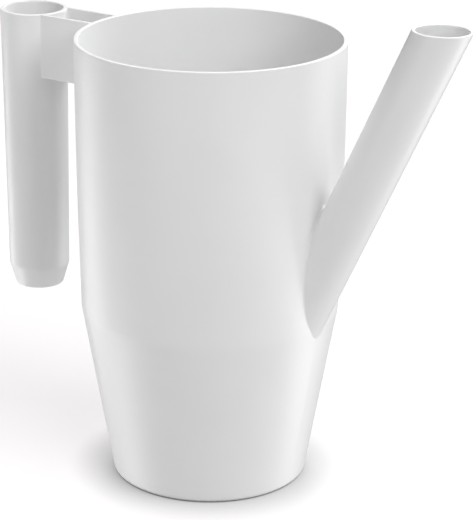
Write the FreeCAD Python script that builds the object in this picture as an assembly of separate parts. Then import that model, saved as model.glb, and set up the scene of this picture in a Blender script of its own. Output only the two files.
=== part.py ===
"""Indoor watering can: one thin-walled plastic moulding with a wide open vessel,
a long straight spout and a hollow tube for a grip.

Frame: origin on the vessel axis at the plane it stands on, +Z up, +X towards
the spout, the grip on -X.  Units are millimetres.

The pieces meet exactly on the surfaces where one feature of the moulding runs
into the next, so that together they fill the one body that the can really is.
"""
import math
import os

import FreeCAD, Part

Vec = FreeCAD.Vector
AXIS_Z = Vec(0, 0, 1)

# ---- vessel -----------------------------------------------------------------
RIM_R = 65.0            # outer radius at the rim
RIM_Z = 220.0           # height of the rim above the table
KNEE_R = 63.1           # outer radius where the wall turns into the taper
KNEE_Z = 86.5
TAPER_R = 47.9          # outer radius of the taper carried down to the table
WALL_T = 2.1            # wall, measured level
KNEE_BLEND_R = 20.0     # soft turn between wall and taper
FOOT_EDGE_R = 2.2       # outer bottom edge
FLOOR_TOP_Z = 3.6       # inside floor
FLOOR_CORNER_R = 4.0    # inside corner of the floor

# ---- underside --------------------------------------------------------------
FOOT_RING_R = 42.5      # inner radius of the ring that touches the table
RECESS_Z = 1.3          # underside of the floor inside the ring
RECESS_EDGE_R = 0.8
GATE_DIMPLE_R = 4.0     # shallow dimple that keeps the gate mark off the table
GATE_DIMPLE_DEPTH = 0.5
GATE_MARK_R = 1.1
GATE_MARK_H = 0.6

# ---- spout ------------------------------------------------------------------
SPOUT_TILT = 25.4       # degrees away from upright
MOUTH_X = 124.2         # centre of the mouth, level with MOUTH_Z
MOUTH_Z = 241.0
SPOUT_MOUTH_R = 12.8    # outer radius at the mouth
SPOUT_ROOT_R = 12.45    # outer radius at the inner end of the run
SPOUT_WALL_T = 1.5
SPOUT_RUN = 190.0       # from the mouth down the axis to inside the vessel
SPOUT_OVERRUN = 20.0    # tube carried past the mouth before it is cut level
SPOUT_ROOT_FILLET = 1.0

# ---- grip -------------------------------------------------------------------
GRIP_X = -107.2         # grip axis
GRIP_TOP_R = 16.75      # outer radius at the rim
GRIP_KNEE_R = 15.3      # outer radius where the end starts to taper
GRIP_KNEE_Z = 86.5
GRIP_END_R = 12.0
GRIP_END_Z = 75.2       # lowest point of the grip
GRIP_WALL_T = 2.15
GRIP_END_T = 2.4        # thickness of the closed end
GRIP_KNEE_BLEND_R = 6.0
GRIP_END_EDGE_R = 1.2
GRIP_END_CORNER_R = 2.0

# ---- bridge: two upright webs between vessel and grip ------------------------
WEB_INNER_Y = 9.0       # clear half-width between the webs
WEB_T = 1.8
WEB_BOTTOM_Z = 188.1
WEB_ROOT_FILLET = 0.7   # where a web meets the vessel or the grip
WEB_EDGE_R = 0.6        # lower edges of a web
WEB_VESSEL_X = -63.2    # plate ends inside the wall of the vessel
WEB_GRIP_X = -95.05     # plate ends inside the wall of the grip
WEB_CLEARANCE = 3.6     # the grip is carried this far under the webs to shape their roots

# ---- shared details ---------------------------------------------------------
LAND_EDGE_R = 0.35      # edges of the flat rims
PAN_TOP_Z = 8.0         # level at which the floor pan hands over to the wall
CUP_TOP_Z = 92.0        # level at which the end cup hands over to the grip tube
REACH = 400.0           # wider than the whole can
TOL = 1e-3
SURFACE_TOL = 0.01      # a fused edge this close to a surface lies on it


def lathe(edges, centre_x=0.0):
    """Solid of revolution about the upright axis through (centre_x, 0)."""
    wire = Part.Wire(edges)
    solid = Part.Face(wire).revolve(Vec(0, 0, 0), AXIS_Z, 360)
    solid.translate(Vec(centre_x, 0, 0))
    return solid


def line(start, end):
    """Straight profile edge between two (radius, height) pairs."""
    return Part.makeLine(Vec(start[0], 0, start[1]), Vec(end[0], 0, end[1]))


def swelling_line(start, end):
    """Parabola that leaves the lower point leaning out and reaches the upper one upright."""
    middle_z = (start[1] + end[1]) / 2.0
    curve = Part.BezierCurve()
    curve.setPoles([Vec(start[0], 0, start[1]), Vec(end[0], 0, middle_z), Vec(end[0], 0, end[1])])
    return curve.toShape()


def ring_edges(solid, radius, height):
    """Full-circle edges of a lathed solid at one radius and height."""
    found = []
    for edge in solid.Edges:
        box = edge.BoundBox
        level = box.ZLength < TOL and abs(box.ZMin - height) < TOL
        if level and abs(box.YMax - radius) < TOL:
            found.append(edge)
    return found


def rounded(solid, radius, edges):
    """The solid with the given edges rounded."""
    return solid.makeFillet(radius, edges)


def level_edges(solid, height):
    """Edges of a solid that lie in the level plane at the given height."""
    return [edge for edge in solid.Edges
            if abs(edge.BoundBox.ZMin - height) < TOL and abs(edge.BoundBox.ZMax - height) < TOL]


def below(height):
    """Box that holds everything under a level."""
    return Part.makeBox(REACH, REACH, REACH, Vec(-REACH / 2, -REACH / 2, height - REACH))


def taper_radius(height):
    """Outer radius of the vessel's taper at a height."""
    return TAPER_R + (KNEE_R - TAPER_R) * height / KNEE_Z


def vessel_outside():
    """Outer volume of the vessel, with the knee and the bottom edge rounded."""
    solid = lathe([
        line((0, 0), (TAPER_R, 0)),
        line((TAPER_R, 0), (KNEE_R, KNEE_Z)),
        swelling_line((KNEE_R, KNEE_Z), (RIM_R, RIM_Z)),
        line((RIM_R, RIM_Z), (0, RIM_Z)),
        line((0, RIM_Z), (0, 0)),
    ])
    solid = rounded(solid, KNEE_BLEND_R, ring_edges(solid, KNEE_R, KNEE_Z))
    return rounded(solid, FOOT_EDGE_R, ring_edges(solid, TAPER_R, 0))


def vessel_cavity():
    """Space inside the vessel."""
    floor_r = taper_radius(FLOOR_TOP_Z) - WALL_T
    knee_r = KNEE_R - WALL_T
    rim_r = RIM_R - WALL_T
    solid = lathe([
        line((0, FLOOR_TOP_Z), (floor_r, FLOOR_TOP_Z)),
        line((floor_r, FLOOR_TOP_Z), (knee_r, KNEE_Z)),
        swelling_line((knee_r, KNEE_Z), (rim_r, RIM_Z)),
        line((rim_r, RIM_Z), (0, RIM_Z)),
        line((0, RIM_Z), (0, FLOOR_TOP_Z)),
    ])
    solid = rounded(solid, KNEE_BLEND_R, ring_edges(solid, knee_r, KNEE_Z))
    return rounded(solid, FLOOR_CORNER_R, ring_edges(solid, floor_r, FLOOR_TOP_Z))


def underside_recess():
    """Hollow under the floor, with a dimple and the mark left by the gate."""
    recess = Part.makeCylinder(FOOT_RING_R, RECESS_Z)
    recess = rounded(recess, RECESS_EDGE_R, ring_edges(recess, FOOT_RING_R, RECESS_Z))
    dimple = Part.makeCylinder(GATE_DIMPLE_R, RECESS_Z + GATE_DIMPLE_DEPTH)
    mark_z = RECESS_Z + GATE_DIMPLE_DEPTH - GATE_MARK_H
    mark = Part.makeCylinder(GATE_MARK_R, GATE_MARK_H, Vec(0, 0, mark_z))
    return recess.fuse(dimple).cut(mark)


def spout_axis_down():
    """Unit vector from the mouth down the spout."""
    tilt = math.radians(SPOUT_TILT)
    return Vec(-math.sin(tilt), 0, -math.cos(tilt))


def spout_taper(mouth_r, root_r):
    """Round volume along the spout, cut level at the mouth."""
    down = spout_axis_down()
    growth = (mouth_r - root_r) / SPOUT_RUN
    top = Vec(MOUTH_X, 0, MOUTH_Z) - down * SPOUT_OVERRUN
    top_r = mouth_r + growth * SPOUT_OVERRUN
    cone = Part.makeCone(top_r, root_r, SPOUT_RUN + SPOUT_OVERRUN, top, down)
    return cone.common(below(MOUTH_Z))


def grip_outside():
    """Outer volume of the grip, about its own axis."""
    solid = lathe([
        line((0, GRIP_END_Z), (GRIP_END_R, GRIP_END_Z)),
        line((GRIP_END_R, GRIP_END_Z), (GRIP_KNEE_R, GRIP_KNEE_Z)),
        line((GRIP_KNEE_R, GRIP_KNEE_Z), (GRIP_TOP_R, RIM_Z)),
        line((GRIP_TOP_R, RIM_Z), (0, RIM_Z)),
        line((0, RIM_Z), (0, GRIP_END_Z)),
    ])
    solid = rounded(solid, GRIP_KNEE_BLEND_R, ring_edges(solid, GRIP_KNEE_R, GRIP_KNEE_Z))
    return rounded(solid, GRIP_END_EDGE_R, ring_edges(solid, GRIP_END_R, GRIP_END_Z))


def grip_bore():
    """Space inside the grip, about its own axis, open at the rim."""
    bottom_z = GRIP_END_Z + GRIP_END_T
    slope = (GRIP_KNEE_R - GRIP_END_R) / (GRIP_KNEE_Z - GRIP_END_Z)
    bottom_r = GRIP_END_R + slope * GRIP_END_T - GRIP_WALL_T
    knee_r = GRIP_KNEE_R - GRIP_WALL_T
    rim_r = GRIP_TOP_R - GRIP_WALL_T
    solid = lathe([
        line((0, bottom_z), (bottom_r, bottom_z)),
        line((bottom_r, bottom_z), (knee_r, GRIP_KNEE_Z)),
        line((knee_r, GRIP_KNEE_Z), (rim_r, RIM_Z)),
        line((rim_r, RIM_Z), (0, RIM_Z)),
        line((0, RIM_Z), (0, bottom_z)),
    ])
    return rounded(solid, GRIP_END_CORNER_R, ring_edges(solid, bottom_r, bottom_z))


def rim_rounded(shell):
    """A lathed shell with both edges of its flat rim rounded."""
    return rounded(shell, LAND_EDGE_R, level_edges(shell, RIM_Z))


def vessel_shell():
    """The vessel without its neighbours."""
    shell = vessel_outside().cut([vessel_cavity(), underside_recess()])
    return rim_rounded(shell)


def grip_shell():
    """The grip without its neighbours, in place."""
    shell = rim_rounded(grip_outside().cut(grip_bore()))
    shell.translate(Vec(GRIP_X, 0, 0))
    return shell


def grip_cone():
    """Outer volume of the grip from just under the webs to the rim, in place."""
    draft = (GRIP_TOP_R - GRIP_KNEE_R) / (RIM_Z - GRIP_KNEE_Z)
    low_z = WEB_BOTTOM_Z - WEB_CLEARANCE
    low_r = GRIP_TOP_R - draft * (RIM_Z - low_z)
    return Part.makeCone(low_r, GRIP_TOP_R, RIM_Z - low_z, Vec(GRIP_X, 0, low_z), AXIS_Z)


def web_plate():
    """Flat plate of the front web, ending inside both walls."""
    corner = Vec(WEB_GRIP_X, -WEB_INNER_Y - WEB_T, WEB_BOTTOM_Z)
    plate = Part.makeBox(WEB_VESSEL_X - WEB_GRIP_X, WEB_T, RIM_Z - WEB_BOTTOM_Z, corner)
    long_edges = [edge for edge in level_edges(plate, WEB_BOTTOM_Z) if edge.BoundBox.XLength > WEB_T]
    return rounded(plate, WEB_EDGE_R, long_edges)


def upright_root_edges(body):
    """Upright edges where a web runs into the vessel and into the grip."""
    found = []
    shortest = RIM_Z - WEB_BOTTOM_Z - 2 * WEB_EDGE_R
    for edge in body.Edges:
        box = edge.BoundBox
        upright = box.ZLength > shortest and box.ZMin > WEB_BOTTOM_Z - TOL
        beside_web = WEB_INNER_Y - TOL < abs(edge.CenterOfMass.y) < WEB_INNER_Y + WEB_T + TOL
        if upright and beside_web:
            found.append(edge)
    return found


def front_web(vessel, grip):
    """The front web between the finished vessel and grip, with filleted roots.

    The lips fill the rounded rims where the web runs flush into them.
    """
    plate = web_plate()
    neighbours = [vessel_outside(), grip_cone()]
    joined = plate.fuse(neighbours)
    joined = rounded(joined, WEB_ROOT_FILLET, upright_root_edges(joined))
    between = joined.cut(neighbours)
    lips = [plate.common(neighbours[0]).cut(vessel), plate.common(neighbours[1]).cut(grip)]
    return between.fuse(lips).removeSplitter()


def spout_root_edges(body):
    """Edges of the saddle where the spout leaves the outside of the vessel."""
    down = spout_axis_down()
    mouth = Vec(MOUTH_X, 0, MOUTH_Z)
    found = []
    for edge in body.Edges:
        middle = edge.valueAt((edge.FirstParameter + edge.LastParameter) / 2)
        offset = middle - mouth
        run = offset.dot(down)
        radius = (offset - down * run).Length
        expected = SPOUT_MOUTH_R + (SPOUT_ROOT_R - SPOUT_MOUTH_R) * run / SPOUT_RUN
        if run > SPOUT_OVERRUN and abs(radius - expected) < SURFACE_TOL and middle.z < RIM_Z:
            found.append(edge)
    return found


def spout():
    """The spout outside the vessel, with its root fillet and rounded mouth."""
    vessel = vessel_outside()
    joined = vessel.fuse(spout_taper(SPOUT_MOUTH_R, SPOUT_ROOT_R))
    joined = rounded(joined, SPOUT_ROOT_FILLET, spout_root_edges(joined))
    tube = joined.cut([vessel, spout_bore()])
    return rounded(tube, LAND_EDGE_R, level_edges(tube, MOUTH_Z))


def spout_bore():
    """Waterway of the spout, carried through the wall of the vessel."""
    return spout_taper(SPOUT_MOUTH_R - SPOUT_WALL_T, SPOUT_ROOT_R - SPOUT_WALL_T)


def only_solid(shape, name):
    """The single solid of a shape."""
    if len(shape.Solids) != 1:
        raise ValueError("%s should be one solid, not %d" % (name, len(shape.Solids)))
    return shape.Solids[0]


vessel = vessel_shell()
grip = grip_shell()
web = front_web(vessel, grip)
pieces = {
    "floor_pan": vessel.common(below(PAN_TOP_Z)),
    "vessel_wall": vessel.cut([below(PAN_TOP_Z), spout_bore()]),
    "spout_tube": spout(),
    "grip_tube": grip.cut(below(CUP_TOP_Z)),
    "grip_end_cup": grip.common(below(CUP_TOP_Z)),
    "bridge_front_web": web,
    "bridge_rear_web": web.mirror(Vec(0, 0, 0), Vec(0, 1, 0)),
}

os.makedirs("parts", exist_ok=True)
for node, shape in pieces.items():
    piece = only_solid(shape, node)
    piece.exportStep("parts/%s.step" % node)
    print("%-18s %8.0f mm3  valid %s" % (node, piece.Volume, piece.isValid()))
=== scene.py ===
"""Looks of the watering can: white satin plastic in a bright, soft studio."""

import math

import bpy
from mathutils import Matrix, Vector


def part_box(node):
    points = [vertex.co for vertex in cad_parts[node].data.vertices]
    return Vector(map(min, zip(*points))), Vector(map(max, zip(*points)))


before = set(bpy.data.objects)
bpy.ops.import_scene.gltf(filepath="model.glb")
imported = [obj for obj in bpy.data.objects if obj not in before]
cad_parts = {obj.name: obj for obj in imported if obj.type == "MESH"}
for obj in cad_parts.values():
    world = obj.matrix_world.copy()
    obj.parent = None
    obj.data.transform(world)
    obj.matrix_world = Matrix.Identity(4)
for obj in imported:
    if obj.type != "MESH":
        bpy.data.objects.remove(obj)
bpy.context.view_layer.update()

MM = 0.001
WHITE = (1, 1, 1, 1)

# ---- camera, in metres and degrees about the can's own frame ------------------
CAMERA_AZIMUTH = 34.55      # side of the can that faces the camera
CAMERA_DISTANCE = 1.033     # level distance from the vessel's axis
CAMERA_HEIGHT = 0.4756
CAMERA_PITCH = 19.57        # below the horizon
CAMERA_AIM = 0.716          # turned right of the vessel's axis
CAMERA_ROLL = 0.436
CAMERA_LENS = 154.9         # millimetres
CAMERA_SENSOR = 36.0        # millimetres
CAMERA_NEAR = 0.01          # it sees from here
CAMERA_FAR = 50.0           # to here

# ---- studio -------------------------------------------------------------------
LIGHT_AIM = Vector((0, 0, 0.12))    # every light faces the middle of the can
LIGHT_REACH = 1.3                   # from there to a light
ROOM_LIGHT = 0.13                   # even light from every side
WARM_WHITE = (1.0, 0.998, 0.992)    # the softboxes
FLOOR_SIZE = 16.0
FLOOR_TONE = 0.3                    # share of the floor's white that falls into shade
GLOW_WITH_PAINTED_SHADE = 0.72                 # share of the floor's white that is a glow, darkened close under the can as painted shade
# how far from the can the painted shadow on the floor reaches
PAINTED_SHADE_REACH = 23 * MM
PAINTED_SHADE_TINT = (1.01, 0.985, 0.995, 1)    # the glow and its painted shade are a little pink
UNDER_MARGIN = 1 * MM               # the dark disc under the foot stands out this far
UNDER_GAP = 0.2 * MM                # and lies this far below it
UNDER_SIDES = 96
# dark, so that the disc throws no light back onto the foot and only shades it
UNDER_SHADE_TONE = (0.1, 0.1, 0.1, 1)

# ---- the can's tubes ----------------------------------------------------------
FOOT_R = 47.9 * MM                  # outer radius of the vessel's foot
SPOUT_TILT = 25.4                   # degrees from upright, towards +X
SPOUT_MOUTH_HALF = 14.2 * MM        # half the length of the level mouth

# ---- white polypropylene, sizes in metres -------------------------------------
PLASTIC_DEEP = (0.840, 0.842, 0.848, 1)
PLASTIC_PALE = (0.854, 0.856, 0.861, 1)
PLASTIC_IOR = 1.49
NOISE_DETAIL = 2.0                  # finer layers of a noise, where nothing else is said
CLOUD_SIZE = 30 * MM                # slow drift of colour and gloss
CLOUD_DETAIL = 3.0
CLOUD_RANGE = (0.3, 0.7)            # noise values between which the colour drifts
SATIN = 0.42                        # roughness of the spark-eroded outside
SATIN_DRIFT = 0.04
GRAIN_SIZE = 0.45 * MM
GRAIN_DEPTH = 0.012 * MM
GRAIN_DRIFT = 0.03
WAVE_SIZE = 45 * MM                 # faint unevenness left by shrinkage
WAVE_DETAIL = 1.0
WAVE_DEPTH = 0.06 * MM
BORE_SATIN = 0.38                   # roughness inside, where the core was polished
DRAW_MARK_WIDTH = 0.8 * MM          # marks that the core drew along the bore
DRAW_MARK_STRETCH = 0.02
DRAW_MARK_DEPTH = 0.002 * MM
DRAW_MARK_DRIFT = 0.04
EDGE_REACH = 0.7 * MM               # how far from an edge it is rubbed
EDGE_TURN = (0.75, 0.98)            # cosine of a rounding's turn: full edge, flat face
EDGE_SATIN = 0.30
EDGE_POLISH = 0.7
EDGE_PALING = 0.4
EDGE_PALE = (0.875, 0.878, 0.878, 1)
FOOT_DARK_HEIGHT = 2.5 * MM             # darker in patches towards the bottom, up to this height
FOOT_DARK_PATCH_SIZE = 3 * MM
FOOT_DARK_PATCH_DETAIL = 5.0
FOOT_DARK_PATCH_RANGE = (0.4, 0.7)            # noise values between which the darker patches set in
FOOT_DARKENING = 0.35
FOOT_DARK_TONE = (0.70, 0.69, 0.67, 1)


def facing(azimuth, elevation=0.0):
    """Unit vector out from the can, azimuth counted to the camera's right."""
    turn = math.radians(CAMERA_AZIMUTH + azimuth)
    lift = math.radians(elevation)
    return Vector((
        math.sin(turn) * math.cos(lift),
        -math.cos(turn) * math.cos(lift),
        math.sin(lift),
    ))


def camera():
    """A long lens looking down on the can from its front."""
    heading = math.radians(CAMERA_AIM - CAMERA_AZIMUTH)
    pitch = math.radians(CAMERA_PITCH)
    roll = math.radians(CAMERA_ROLL)
    forward = Vector((
        math.sin(heading) * math.cos(pitch),
        math.cos(heading) * math.cos(pitch),
        -math.sin(pitch),
    ))
    level_right = Vector((math.cos(heading), -math.sin(heading), 0.0))
    level_up = level_right.cross(forward)
    right = level_right * math.cos(roll) + level_up * math.sin(roll)
    up = level_up * math.cos(roll) - level_right * math.sin(roll)
    data = bpy.data.cameras.new("camera")
    data.lens = CAMERA_LENS
    data.sensor_width = CAMERA_SENSOR
    data.clip_start = CAMERA_NEAR
    data.clip_end = CAMERA_FAR
    obj = bpy.data.objects.new("camera", data)
    bpy.context.scene.collection.objects.link(obj)
    turn = Matrix((right, up, -forward)).transposed().to_4x4()
    place = Matrix.Translation(facing(0) * CAMERA_DISTANCE + Vector((0, 0, CAMERA_HEIGHT)))
    obj.matrix_world = place @ turn
    bpy.context.scene.camera = obj


def place_light(data, azimuth, elevation, lit):
    """Puts a light out from the can, facing it. It lights what the collection lit says."""
    obj = bpy.data.objects.new(data.name, data)
    bpy.context.scene.collection.objects.link(obj)
    out = facing(azimuth, elevation)
    obj.location = LIGHT_AIM + out * LIGHT_REACH
    obj.rotation_euler = out.to_track_quat("Z", "Y").to_euler()
    obj.light_linking.receiver_collection = lit


def softbox(lit, name, azimuth, elevation, width, height, watts):
    """One rectangular studio light, level."""
    data = bpy.data.lights.new(name, "AREA")
    data.shape = "RECTANGLE"
    data.size = width
    data.size_y = height
    data.energy = watts
    data.color = WARM_WHITE
    place_light(data, azimuth, elevation, lit)


def wide_sun(lit, name, azimuth, elevation, spread, strength):
    """A distant soft light, even over the whole floor."""
    data = bpy.data.lights.new(name, "SUN")
    data.angle = math.radians(spread)
    data.energy = strength
    place_light(data, azimuth, elevation, lit)


def room():
    """Even pale light all round, and plain white behind the can for the camera."""
    world = bpy.data.worlds.new("room")
    bpy.context.scene.world = world
    world.use_nodes = True
    nodes = world.node_tree.nodes
    links = world.node_tree.links
    background = nodes["Background"]
    background.inputs["Color"].default_value = WHITE
    path = nodes.new("ShaderNodeLightPath")
    strength = nodes.new("ShaderNodeMapRange")
    strength.inputs["To Min"].default_value = ROOM_LIGHT
    strength.inputs["To Max"].default_value = 1.0
    links.new(path.outputs["Is Camera Ray"], strength.inputs["Value"])
    links.new(strength.outputs["Result"], background.inputs["Strength"])


def floor():
    """White floor that only the camera sees, so low lights reach the can through it. Part of
    its white is a glow, with a painted shadow close under the can.
    """
    bpy.ops.mesh.primitive_plane_add(size=FLOOR_SIZE, location=(0, 0, 0))
    plane = bpy.context.object
    plane.name = "floor"
    plane.visible_diffuse = False
    plane.visible_glossy = False
    plane.visible_transmission = False
    plane.visible_shadow = False
    material = bpy.data.materials.new("floor")
    material.use_nodes = True
    nodes = material.node_tree.nodes
    links = material.node_tree.links
    surface = nodes["Principled BSDF"]
    surface.inputs["Base Color"].default_value = (FLOOR_TONE, FLOOR_TONE, FLOOR_TONE, 1)
    surface.inputs["Roughness"].default_value = 1.0
    surface.inputs["Specular IOR Level"].default_value = 0.0
    surface.inputs["Emission Strength"].default_value = GLOW_WITH_PAINTED_SHADE
    # painted contact shadow: the floor's glow darkens where the can is near
    painted_contact_shade = nodes.new("ShaderNodeAmbientOcclusion")
    painted_contact_shade.inputs["Color"].default_value = PAINTED_SHADE_TINT
    painted_contact_shade.inputs["Distance"].default_value = PAINTED_SHADE_REACH
    links.new(painted_contact_shade.outputs["Color"], surface.inputs["Emission Color"])
    plane.data.materials.append(material)
    return plane


def under_can():
    """The bit of floor right under the foot, as a dark disc hidden from the camera: it stops
    the low lights and so puts shade on the foot's rounded edge.
    """
    bpy.ops.mesh.primitive_circle_add(
        vertices=UNDER_SIDES,
        radius=FOOT_R + UNDER_MARGIN,
        fill_type="NGON",
        location=(0, 0, -UNDER_GAP),
    )
    disc = bpy.context.object
    disc.name = "under_can"
    disc.visible_camera = False
    material = bpy.data.materials.new("under_can")
    material.use_nodes = True
    material.node_tree.nodes["Principled BSDF"].inputs["Base Color"].default_value = UNDER_SHADE_TONE
    disc.data.materials.append(material)


def light_can(lit):
    """Softboxes all round the can, sizes in metres. The strongest is high up behind it."""
    softbox(lit, "key", azimuth=36, elevation=32, width=0.6, height=0.6, watts=7.6)
    softbox(lit, "fill_left", azimuth=305, elevation=28, width=0.9, height=0.7, watts=1.9)
    softbox(lit, "fill_low", azimuth=320, elevation=-5, width=0.9, height=0.7, watts=3.1)
    softbox(lit, "fill_right", azimuth=65, elevation=0, width=0.8, height=0.8, watts=3.2)
    softbox(lit, "top", azimuth=0, elevation=88, width=1.2, height=1.2, watts=7.2)
    softbox(lit, "under_front", azimuth=0, elevation=-45, width=1.2, height=0.8, watts=1.3)
    softbox(lit, "under", azimuth=0, elevation=-88, width=1.2, height=1.2, watts=4.6)
    softbox(lit, "back", azimuth=142, elevation=43, width=0.8, height=0.6, watts=14.0)
    softbox(lit, "low_right", azimuth=100, elevation=-28, width=0.8, height=0.5, watts=6.3)
    softbox(lit, "low_left", azimuth=266, elevation=-34, width=0.8, height=0.5, watts=4.8)
    softbox(lit, "low_back", azimuth=238, elevation=-20, width=0.6, height=0.5, watts=3.8)


def light_floor(lit):
    """Two soft suns, whose shade on the floor is broad and faint."""
    wide_sun(lit, "floor_key", azimuth=45, elevation=54, spread=44, strength=2.9)
    wide_sun(lit, "floor_back", azimuth=180, elevation=35, spread=26, strength=1.2)


def studio():
    """The floor, and separate lights for the floor and for all that stands on it."""
    plane = floor()
    under_can()
    only_floor = bpy.data.collections.new("only_floor")
    only_floor.objects.link(plane)
    all_but_floor = bpy.data.collections.new("all_but_floor")
    all_but_floor.objects.link(plane)
    all_but_floor.collection_objects[0].light_linking.link_state = "EXCLUDE"
    light_can(all_but_floor)
    light_floor(only_floor)


class Plastic:
    """Builds one Principled material out of nodes, a value at a time."""

    def __init__(self, name):
        self.material = bpy.data.materials.new(name)
        self.material.use_nodes = True
        self.nodes = self.material.node_tree.nodes
        self.links = self.material.node_tree.links
        self.surface = self.nodes["Principled BSDF"]
        self.place = self.nodes.new("ShaderNodeTexCoord").outputs["Object"]
        self.normal = self.nodes.new("ShaderNodeNewGeometry").outputs["Normal"]

    def feed(self, node, socket, value):
        """Gives a socket another node's output, or a plain value."""
        if isinstance(value, bpy.types.NodeSocket):
            self.links.new(value, node.inputs[socket])
        else:
            node.inputs[socket].default_value = value

    def math(self, operation, first, second):
        """A sum, product or comparison of two numbers."""
        node = self.nodes.new("ShaderNodeMath")
        node.operation = operation
        self.feed(node, 0, first)
        self.feed(node, 1, second)
        return node.outputs["Value"]

    def vector(self, operation, first, second):
        """A difference, product or dot product of two vectors."""
        node = self.nodes.new("ShaderNodeVectorMath")
        node.operation = operation
        self.feed(node, 0, first)
        self.feed(node, 1, second)
        return node.outputs["Value" if operation == "DOT_PRODUCT" else "Vector"]

    def noise(self, size, detail=NOISE_DETAIL, place=None):
        """Noise from 0 to 1 whose blotches are about one size across."""
        node = self.nodes.new("ShaderNodeTexNoise")
        self.feed(node, "Vector", place or self.place)
        self.feed(node, "Scale", 1.0 / size)
        self.feed(node, "Detail", detail)
        return node.outputs["Fac"]

    def ramp(self, value, low, high, start=0.0, end=1.0):
        """Goes from low to high while the value goes from start to end."""
        node = self.nodes.new("ShaderNodeMapRange")
        self.feed(node, "Value", value)
        self.feed(node, "From Min", start)
        self.feed(node, "From Max", end)
        self.feed(node, "To Min", low)
        self.feed(node, "To Max", high)
        return node.outputs["Result"]

    def blend(self, amount, first, second):
        """A number between two numbers."""
        node = self.nodes.new("ShaderNodeMix")
        self.feed(node, "Factor", amount)
        self.feed(node, "A", first)
        self.feed(node, "B", second)
        return node.outputs["Result"]

    def tint(self, amount, first, second):
        """A colour between two colours."""
        node = self.nodes.new("ShaderNodeMixRGB")
        self.feed(node, "Fac", amount)
        self.feed(node, "Color1", first)
        self.feed(node, "Color2", second)
        return node.outputs["Color"]

    def edge(self):
        """1 on edges and 0 on open faces, by how far a rounding would turn the surface."""
        node = self.nodes.new("ShaderNodeBevel")
        self.feed(node, "Radius", EDGE_REACH)
        kept = self.vector("DOT_PRODUCT", node.outputs["Normal"], self.normal)
        return self.ramp(kept, 1.0, 0.0, *EDGE_TURN)

    def height(self):
        """Height above the floor."""
        node = self.nodes.new("ShaderNodeSeparateXYZ")
        self.feed(node, "Vector", self.place)
        return node.outputs["Z"]


def white_plastic(name, axis_foot, axis_tilt):
    """White satin polypropylene: spark-eroded grain outside, draw marks along the bore.

    The piece is a tube, or part of one. Its axis passes through axis_foot and leans by
    axis_tilt degrees towards +X.
    """
    shader = Plastic(name)
    edge = shader.edge()
    cloud = shader.noise(CLOUD_SIZE, CLOUD_DETAIL)
    grain = shader.noise(GRAIN_SIZE)

    out_from_axis = shader.vector("SUBTRACT", shader.place, axis_foot)
    faces_out = shader.vector("DOT_PRODUCT", out_from_axis, shader.normal)
    inside = shader.math("LESS_THAN", faces_out, 0.0)
    along = shader.nodes.new("ShaderNodeMapping")
    along.vector_type = "TEXTURE"
    shader.feed(along, "Vector", shader.place)
    shader.feed(along, "Location", axis_foot)
    shader.feed(along, "Rotation", (0.0, math.radians(axis_tilt), 0.0))
    drawn = shader.vector("MULTIPLY", along.outputs["Vector"], (1.0, 1.0, DRAW_MARK_STRETCH))
    draw_mark = shader.noise(DRAW_MARK_WIDTH, place=drawn)

    # darker in patches towards the bottom, close to the floor
    low_down = shader.ramp(shader.height(), FOOT_DARKENING, 0.0, end=FOOT_DARK_HEIGHT)
    patches = shader.ramp(shader.noise(FOOT_DARK_PATCH_SIZE, FOOT_DARK_PATCH_DETAIL), 0.0, 1.0, *FOOT_DARK_PATCH_RANGE)
    foot_darkening_mask = shader.math("MULTIPLY", low_down, patches)

    drift = shader.ramp(cloud, 0.0, 1.0, *CLOUD_RANGE)
    colour = shader.tint(drift, PLASTIC_DEEP, PLASTIC_PALE)
    colour = shader.tint(shader.math("MULTIPLY", edge, EDGE_PALING), colour, EDGE_PALE)
    colour = shader.tint(foot_darkening_mask, colour, FOOT_DARK_TONE)

    satin = shader.ramp(cloud, SATIN - SATIN_DRIFT, SATIN + SATIN_DRIFT)
    satin = shader.math("ADD", satin, shader.ramp(grain, -GRAIN_DRIFT, GRAIN_DRIFT))
    bore_satin = shader.ramp(
        draw_mark,
        BORE_SATIN - DRAW_MARK_DRIFT,
        BORE_SATIN + DRAW_MARK_DRIFT,
    )
    satin = shader.blend(inside, satin, bore_satin)
    satin = shader.blend(shader.math("MULTIPLY", edge, EDGE_POLISH), satin, EDGE_SATIN)

    grain_relief = shader.math("MULTIPLY", grain, GRAIN_DEPTH)
    bore_relief = shader.math("MULTIPLY", draw_mark, DRAW_MARK_DEPTH)
    waves = shader.math("MULTIPLY", shader.noise(WAVE_SIZE, WAVE_DETAIL), WAVE_DEPTH)
    relief = shader.math("ADD", waves, shader.blend(inside, grain_relief, bore_relief))
    bump = shader.nodes.new("ShaderNodeBump")
    shader.feed(bump, "Height", relief)
    shader.feed(bump, "Distance", 1.0)      # the relief is in metres already

    shader.feed(shader.surface, "Base Color", colour)
    shader.feed(shader.surface, "Roughness", satin)
    shader.feed(shader.surface, "Normal", bump.outputs["Normal"])
    shader.feed(shader.surface, "IOR", PLASTIC_IOR)
    return shader.material


def dress_can():
    """Gives every node the one white plastic, drawn along the tube it belongs to."""
    grip_low, grip_high = (Vector(corner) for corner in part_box("grip_tube"))
    spout_high = Vector(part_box("spout_tube")[1])
    spout_mouth = (spout_high.x - SPOUT_MOUTH_HALF, 0.0, spout_high.z)
    grip_foot = ((grip_low.x + grip_high.x) / 2, 0.0, 0.0)
    vessel = white_plastic("vessel_plastic", axis_foot=(0.0, 0.0, 0.0), axis_tilt=0.0)
    spout = white_plastic("spout_plastic", axis_foot=spout_mouth, axis_tilt=SPOUT_TILT)
    grip = white_plastic("grip_plastic", axis_foot=grip_foot, axis_tilt=0.0)
    plastic_of = {"spout_tube": spout, "grip_tube": grip, "grip_end_cup": grip}
    for name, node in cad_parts.items():
        node.data.materials.clear()
        node.data.materials.append(plastic_of.get(name, vessel))


camera()
room()
studio()
dress_can()
bpy.context.scene.view_settings.view_transform = "Standard"
